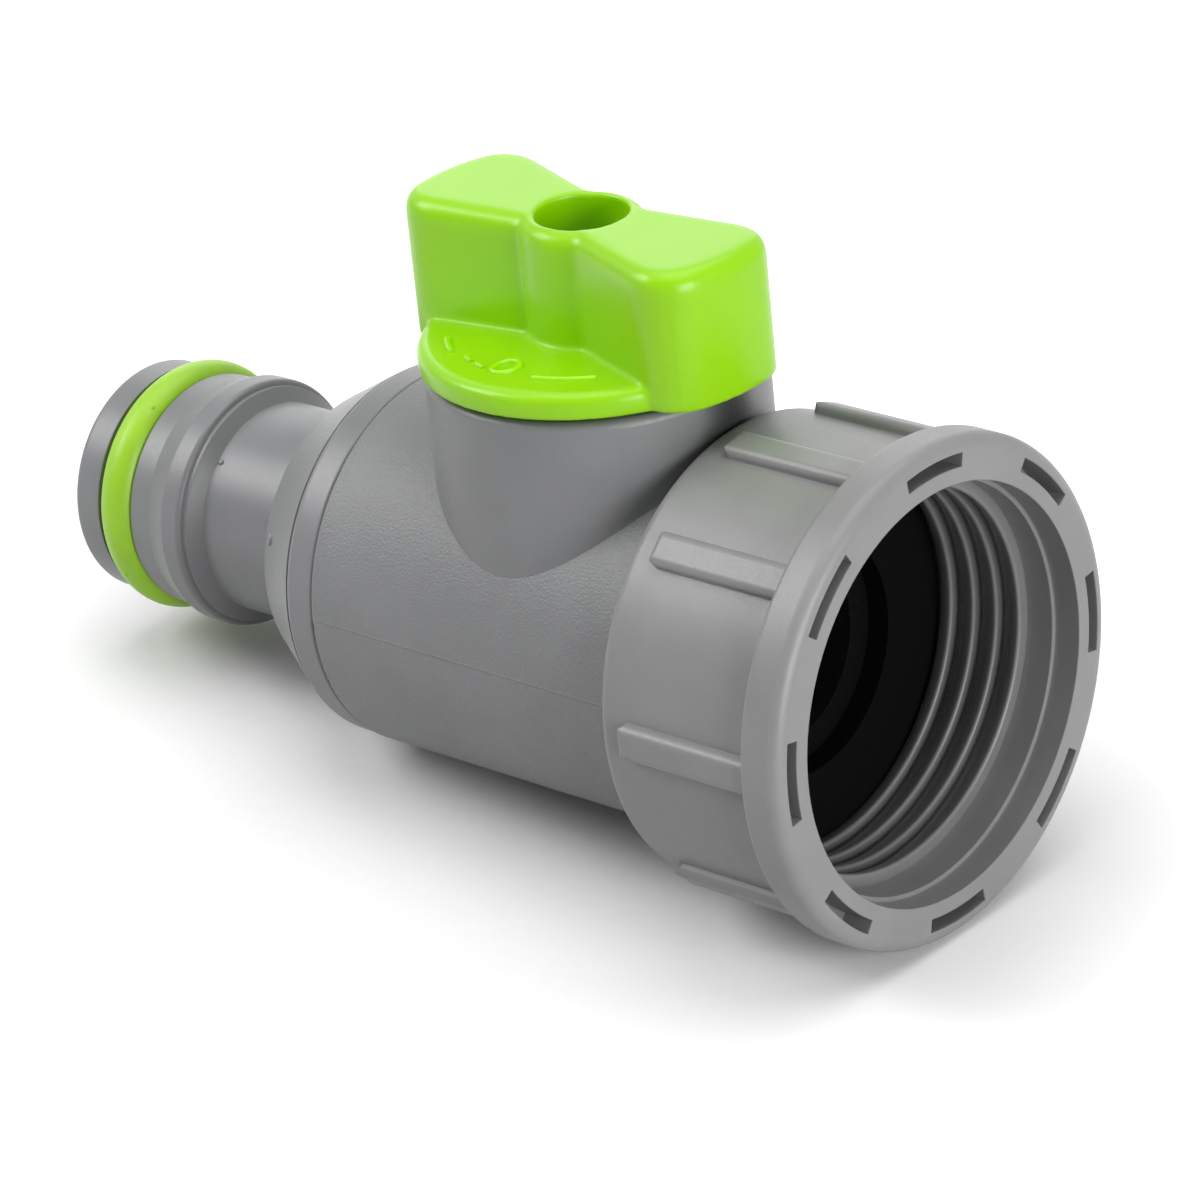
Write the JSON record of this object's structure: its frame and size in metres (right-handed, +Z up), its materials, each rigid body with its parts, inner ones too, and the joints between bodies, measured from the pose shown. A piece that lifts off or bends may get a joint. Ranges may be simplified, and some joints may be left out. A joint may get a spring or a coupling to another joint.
{
  "type": "tap connector with valve",
  "caption": "Tap connector with a quarter-turn ball valve: a threaded swivel nut for a tap, a winged knob, and a quick-connect nipple for a hose end.",
  "frame": {"origin": "centre of the face of the washer that the tap's end seats on, on the pipe's axis", "axes": "+X along the pipe and out of the nut's mouth, +Z up along the valve stem to the knob, +Y to the left seen from behind"},
  "size_m": [0.0685, 0.0328, 0.0438],
  "materials": {
    "body_grey": "satin, finely spark-eroded",
    "nut_grey": "satin",
    "nipple_grey": "satin",
    "knob_green": "satin gloss",
    "green_rubber": "smooth",
    "black_rubber": "matt",
    "ball_white": "polished",
    "seat_white": "smooth",
    "stem_white": "smooth",
    "screw_steel": "bright zinc"
  },
  "bodies": {
    "housing": {"valve_body": "body_grey", "nut_retaining_ring": "body_grey", "tap_washer": "black_rubber", "inlet_seat": "seat_white", "inlet_seat_cushion": "black_rubber", "outlet_seat": "seat_white", "outlet_seat_cushion": "black_rubber", "nipple": "nipple_grey", "nipple_body_o_ring": "black_rubber", "nipple_nose_o_ring": "green_rubber", "lock_ring": "body_grey"},
    "nut": {"coupling_nut": "nut_grey"},
    "valve_rotor": {"knob": "knob_green", "knob_screw": "screw_steel", "stem": "stem_white", "stem_bearing_washer": "seat_white", "stem_lower_o_ring": "black_rubber", "stem_upper_o_ring": "black_rubber", "valve_ball": "ball_white"}
  },
  "joints": [
    {"name": "nut_swivel", "type": "hinge", "parent": "housing", "child": "nut", "pos_m": [-0.0037, 0, 0], "axis": [1, 0, 0], "continuous": true},
    {"name": "valve_turn", "type": "hinge", "parent": "housing", "child": "valve_rotor", "pos_m": [-0.0156, 0, 0], "axis": [0, 0, 1], "range_deg": [-85, 5]}
  ]
}
